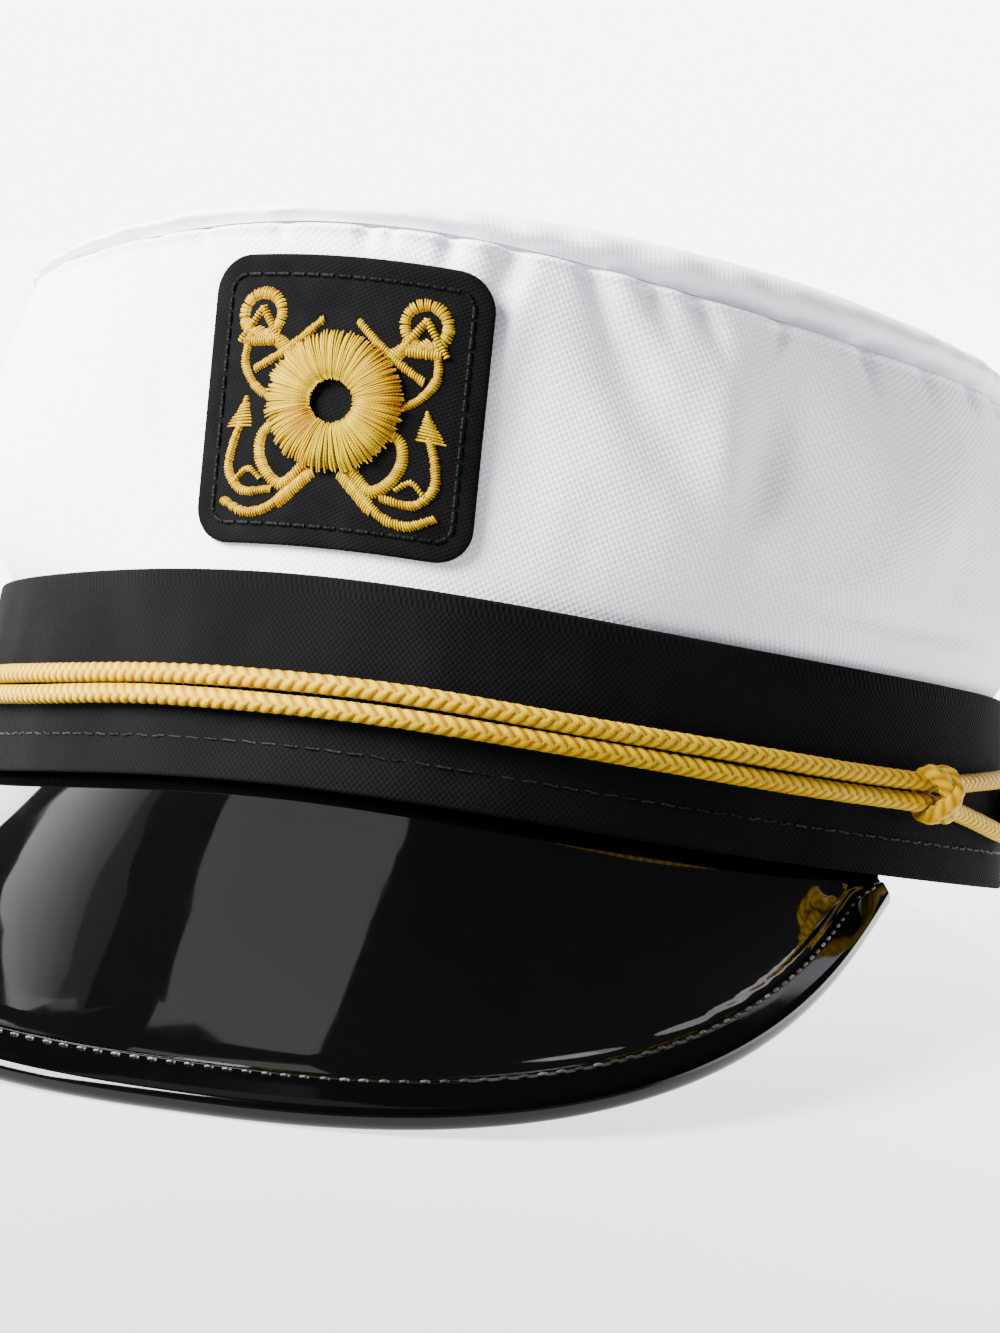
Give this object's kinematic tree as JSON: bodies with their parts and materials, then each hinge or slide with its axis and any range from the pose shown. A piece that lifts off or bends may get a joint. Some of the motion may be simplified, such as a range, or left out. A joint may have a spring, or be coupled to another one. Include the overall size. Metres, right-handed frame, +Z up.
{
  "type": "captain hat",
  "caption": "Peaked sea captain's hat: white domed cloth crown, black band, glossy drooping visor, gold chin cord with slide knots on side buttons, embroidered anchor badge.",
  "frame": {"origin": "under the middle of the hat's box, on the surface that it stands on", "axes": "+Z up, -Y towards the front with the visor, +X towards the wearer's left"},
  "size_m": [0.2012, 0.2524, 0.133],
  "materials": {
    "white_twill": "fine diagonal twill, matt",
    "white_twill_top": "fine diagonal twill, matt",
    "black_twill": "matt twill",
    "patent_black": "high gloss patent",
    "patent_binding": "high gloss patent, stitched",
    "gold_cord": "braided, silky sheen",
    "button_brass": "polished, plain dome",
    "badge_cloth": "matt twill",
    "gold_thread": "satin stitch, silky sheen",
    "gold_thread_ring": "satin stitch, silky sheen"
  },
  "bodies": {
    "root": {"crown_side": "white_twill", "crown_top": "white_twill_top", "band": "black_twill", "visor": "patent_black", "visor_binding": "patent_binding", "chin_cord": "gold_cord", "side_button_left": "button_brass", "side_button_right": "button_brass", "patch": "badge_cloth", "emblem_anchors": "gold_thread", "emblem_ring": "gold_thread_ring"}
  },
  "joints": []
}
